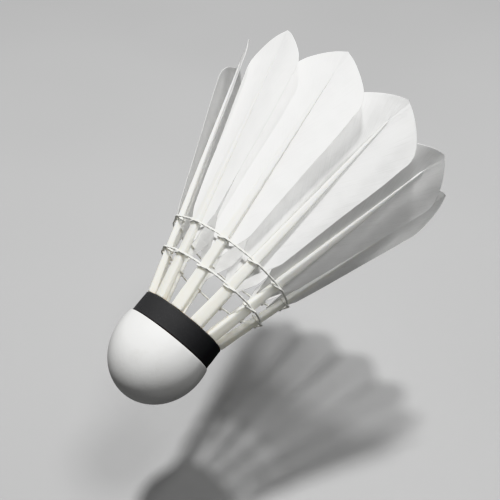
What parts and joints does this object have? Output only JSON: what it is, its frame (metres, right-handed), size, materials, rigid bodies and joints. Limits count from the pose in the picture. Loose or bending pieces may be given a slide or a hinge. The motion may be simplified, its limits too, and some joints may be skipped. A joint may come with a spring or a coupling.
{
  "type": "badminton shuttlecock",
  "caption": "Feather badminton shuttlecock: rounded white cap over a layered cork, dark ribbon band, and a flared skirt of overlapping feathers bound by two thread rows.",
  "frame": {"origin": "centre of the circle that the feather tips stand on", "axes": "+Z along the shuttle's axis from the feather tips to the nose; +X is 15 degrees clockwise of the first feather, seen from the nose"},
  "size_m": [0.071, 0.071, 0.0922],
  "materials": {
    "cap_leather": "satin",
    "cork": "matte",
    "glue": "satin",
    "ribbon": "satin",
    "label": "matte",
    "thread": "matte",
    "quill": "satin",
    "vane": "matte"
  },
  "bodies": {
    "root": {"cork_front_layer": "cork", "cork_layer_glue": "glue", "cork_rear_layer": "cork", "feather_01_inner_vane": "vane", "feather_01_outer_vane": "vane", "feather_01_shaft": "quill", "feather_02_inner_vane": "vane", "feather_02_outer_vane": "vane", "feather_02_shaft": "quill", "feather_03_inner_vane": "vane", "feather_03_outer_vane": "vane", "feather_03_shaft": "quill", "feather_04_inner_vane": "vane", "feather_04_outer_vane": "vane", "feather_04_shaft": "quill", "feather_05_inner_vane": "vane", "feather_05_outer_vane": "vane", "feather_05_shaft": "quill", "feather_06_inner_vane": "vane", "feather_06_outer_vane": "vane", "feather_06_shaft": "quill", "feather_07_inner_vane": "vane", "feather_07_outer_vane": "vane", "feather_07_shaft": "quill", "feather_08_inner_vane": "vane", "feather_08_outer_vane": "vane", "feather_08_shaft": "quill", "feather_09_inner_vane": "vane", "feather_09_outer_vane": "vane", "feather_09_shaft": "quill", "feather_10_inner_vane": "vane", "feather_10_outer_vane": "vane", "feather_10_shaft": "quill", "feather_11_inner_vane": "vane", "feather_11_outer_vane": "vane", "feather_11_shaft": "quill", "feather_12_inner_vane": "vane", "feather_12_outer_vane": "vane", "feather_12_shaft": "quill", "label_disc": "label", "leather_cap": "cap_leather", "lower_thread_hitches": "thread", "lower_thread_strand": "thread", "quill_socket_glue": "glue", "ribbon_band": "ribbon", "upper_thread_hitches": "thread", "upper_thread_strand": "thread"}
  },
  "joints": []
}
